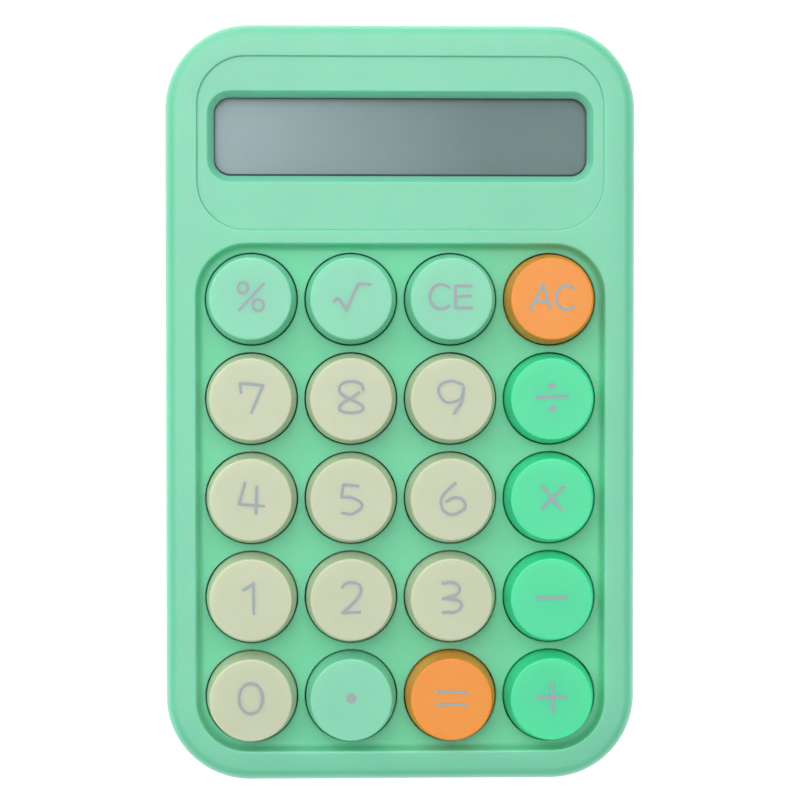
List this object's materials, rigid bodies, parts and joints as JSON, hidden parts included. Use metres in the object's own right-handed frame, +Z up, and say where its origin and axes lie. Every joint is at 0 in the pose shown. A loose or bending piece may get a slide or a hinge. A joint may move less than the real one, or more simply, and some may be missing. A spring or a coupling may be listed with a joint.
{
  "type": "desk calculator",
  "caption": "Desk calculator with a display window above a sunken well of round keys on sprung switches, four rubber feet and a hinged battery door underneath.",
  "frame": {"origin": "on the desk surface, below the middle of the body's outline", "axes": "+X to the right of someone using the keys, +Y towards the display, +Z up"},
  "size_m": [0.098, 0.1576, 0.0276],
  "materials": {
    "case_plastic": "satin moulded mint plastic with a very fine even grain",
    "key_mint": "satin moulded mint plastic, a little paler than the body",
    "key_cream": "satin moulded cream plastic",
    "key_green": "satin moulded bright green plastic",
    "key_orange": "satin moulded orange plastic",
    "display_window": "clear polished acrylic",
    "lcd_glass": "grey liquid crystal display with nothing shown",
    "white_plastic": "plain white moulded plastic",
    "ribbon_film": "amber film with fine conductor stripes",
    "circuit_board": "green lacquered board",
    "chip_resin": "black moulded resin",
    "switch_plastic": "black moulded plastic",
    "foot_rubber": "matt dark grey rubber",
    "battery_wrap": "plain printed film sleeve",
    "contact_steel": "nickel plated steel"
  },
  "bodies": {
    "body": {"top_case": "case_plastic", "bottom_case": "case_plastic", "display_lens": "display_window", "lcd_panel": "lcd_glass", "lcd_holder": "white_plastic", "lcd_ribbon": "ribbon_film", "main_board": "circuit_board", "controller_chip": "chip_resin", "battery": "battery_wrap", "battery_spring": "contact_steel", "battery_contact": "contact_steel", "foot_1": "foot_rubber", "foot_2": "foot_rubber", "foot_3": "foot_rubber", "foot_4": "foot_rubber", "case_screw_1": "contact_steel", "case_screw_2": "contact_steel", "case_screw_3": "contact_steel", "case_screw_4": "contact_steel", "switch_percent": "switch_plastic", "switch_root": "switch_plastic", "switch_clear_entry": "switch_plastic", "switch_all_clear": "switch_plastic", "switch_7": "switch_plastic", "switch_8": "switch_plastic", "switch_9": "switch_plastic", "switch_divide": "switch_plastic", "switch_4": "switch_plastic", "switch_5": "switch_plastic", "switch_6": "switch_plastic", "switch_multiply": "switch_plastic", "switch_1": "switch_plastic", "switch_2": "switch_plastic", "switch_3": "switch_plastic", "switch_minus": "switch_plastic", "switch_0": "switch_plastic", "switch_point": "switch_plastic", "switch_equals": "switch_plastic", "switch_plus": "switch_plastic"},
    "door": {"battery_door": "case_plastic"},
    "key_percent": {"keycap_percent": "key_mint"},
    "key_root": {"keycap_root": "key_mint"},
    "key_clear_entry": {"keycap_clear_entry": "key_mint"},
    "key_all_clear": {"keycap_all_clear": "key_orange"},
    "key_7": {"keycap_7": "key_cream"},
    "key_8": {"keycap_8": "key_cream"},
    "key_9": {"keycap_9": "key_cream"},
    "key_divide": {"keycap_divide": "key_green"},
    "key_4": {"keycap_4": "key_cream"},
    "key_5": {"keycap_5": "key_cream"},
    "key_6": {"keycap_6": "key_cream"},
    "key_multiply": {"keycap_multiply": "key_green"},
    "key_1": {"keycap_1": "key_cream"},
    "key_2": {"keycap_2": "key_cream"},
    "key_3": {"keycap_3": "key_cream"},
    "key_minus": {"keycap_minus": "key_green"},
    "key_0": {"keycap_0": "key_cream"},
    "key_point": {"keycap_point": "key_mint"},
    "key_equals": {"keycap_equals": "key_orange"},
    "key_plus": {"keycap_plus": "key_green"}
  },
  "joints": [
    {"name": "battery_door_hinge", "type": "hinge", "parent": "body", "child": "door", "pos_m": [0, 0.0598, 0.0021], "axis": [1, 0, 0], "range_deg": [0, 100]},
    {"name": "key_percent_press", "type": "slide", "parent": "body", "child": "key_percent", "axis": [0, 0.0349, -0.9994], "range_m": [0, 0.0032], "stiffness_N_per_m": 150, "springref_m": -0.003},
    {"name": "key_root_press", "type": "slide", "parent": "body", "child": "key_root", "axis": [0, 0.0349, -0.9994], "range_m": [0, 0.0032], "stiffness_N_per_m": 150, "springref_m": -0.003},
    {"name": "key_clear_entry_press", "type": "slide", "parent": "body", "child": "key_clear_entry", "axis": [0, 0.0349, -0.9994], "range_m": [0, 0.0032], "stiffness_N_per_m": 150, "springref_m": -0.003},
    {"name": "key_all_clear_press", "type": "slide", "parent": "body", "child": "key_all_clear", "axis": [0, 0.0349, -0.9994], "range_m": [0, 0.0032], "stiffness_N_per_m": 150, "springref_m": -0.003},
    {"name": "key_7_press", "type": "slide", "parent": "body", "child": "key_7", "axis": [0, 0.0349, -0.9994], "range_m": [0, 0.0032], "stiffness_N_per_m": 150, "springref_m": -0.003},
    {"name": "key_8_press", "type": "slide", "parent": "body", "child": "key_8", "axis": [0, 0.0349, -0.9994], "range_m": [0, 0.0032], "stiffness_N_per_m": 150, "springref_m": -0.003},
    {"name": "key_9_press", "type": "slide", "parent": "body", "child": "key_9", "axis": [0, 0.0349, -0.9994], "range_m": [0, 0.0032], "stiffness_N_per_m": 150, "springref_m": -0.003},
    {"name": "key_divide_press", "type": "slide", "parent": "body", "child": "key_divide", "axis": [0, 0.0349, -0.9994], "range_m": [0, 0.0032], "stiffness_N_per_m": 150, "springref_m": -0.003},
    {"name": "key_4_press", "type": "slide", "parent": "body", "child": "key_4", "axis": [0, 0.0349, -0.9994], "range_m": [0, 0.0032], "stiffness_N_per_m": 150, "springref_m": -0.003},
    {"name": "key_5_press", "type": "slide", "parent": "body", "child": "key_5", "axis": [0, 0.0349, -0.9994], "range_m": [0, 0.0032], "stiffness_N_per_m": 150, "springref_m": -0.003},
    {"name": "key_6_press", "type": "slide", "parent": "body", "child": "key_6", "axis": [0, 0.0349, -0.9994], "range_m": [0, 0.0032], "stiffness_N_per_m": 150, "springref_m": -0.003},
    {"name": "key_multiply_press", "type": "slide", "parent": "body", "child": "key_multiply", "axis": [0, 0.0349, -0.9994], "range_m": [0, 0.0032], "stiffness_N_per_m": 150, "springref_m": -0.003},
    {"name": "key_1_press", "type": "slide", "parent": "body", "child": "key_1", "axis": [0, 0.0349, -0.9994], "range_m": [0, 0.0032], "stiffness_N_per_m": 150, "springref_m": -0.003},
    {"name": "key_2_press", "type": "slide", "parent": "body", "child": "key_2", "axis": [0, 0.0349, -0.9994], "range_m": [0, 0.0032], "stiffness_N_per_m": 150, "springref_m": -0.003},
    {"name": "key_3_press", "type": "slide", "parent": "body", "child": "key_3", "axis": [0, 0.0349, -0.9994], "range_m": [0, 0.0032], "stiffness_N_per_m": 150, "springref_m": -0.003},
    {"name": "key_minus_press", "type": "slide", "parent": "body", "child": "key_minus", "axis": [0, 0.0349, -0.9994], "range_m": [0, 0.0032], "stiffness_N_per_m": 150, "springref_m": -0.003},
    {"name": "key_0_press", "type": "slide", "parent": "body", "child": "key_0", "axis": [0, 0.0349, -0.9994], "range_m": [0, 0.0032], "stiffness_N_per_m": 150, "springref_m": -0.003},
    {"name": "key_point_press", "type": "slide", "parent": "body", "child": "key_point", "axis": [0, 0.0349, -0.9994], "range_m": [0, 0.0032], "stiffness_N_per_m": 150, "springref_m": -0.003},
    {"name": "key_equals_press", "type": "slide", "parent": "body", "child": "key_equals", "axis": [0, 0.0349, -0.9994], "range_m": [0, 0.0032], "stiffness_N_per_m": 150, "springref_m": -0.003},
    {"name": "key_plus_press", "type": "slide", "parent": "body", "child": "key_plus", "axis": [0, 0.0349, -0.9994], "range_m": [0, 0.0032], "stiffness_N_per_m": 150, "springref_m": -0.003}
  ]
}
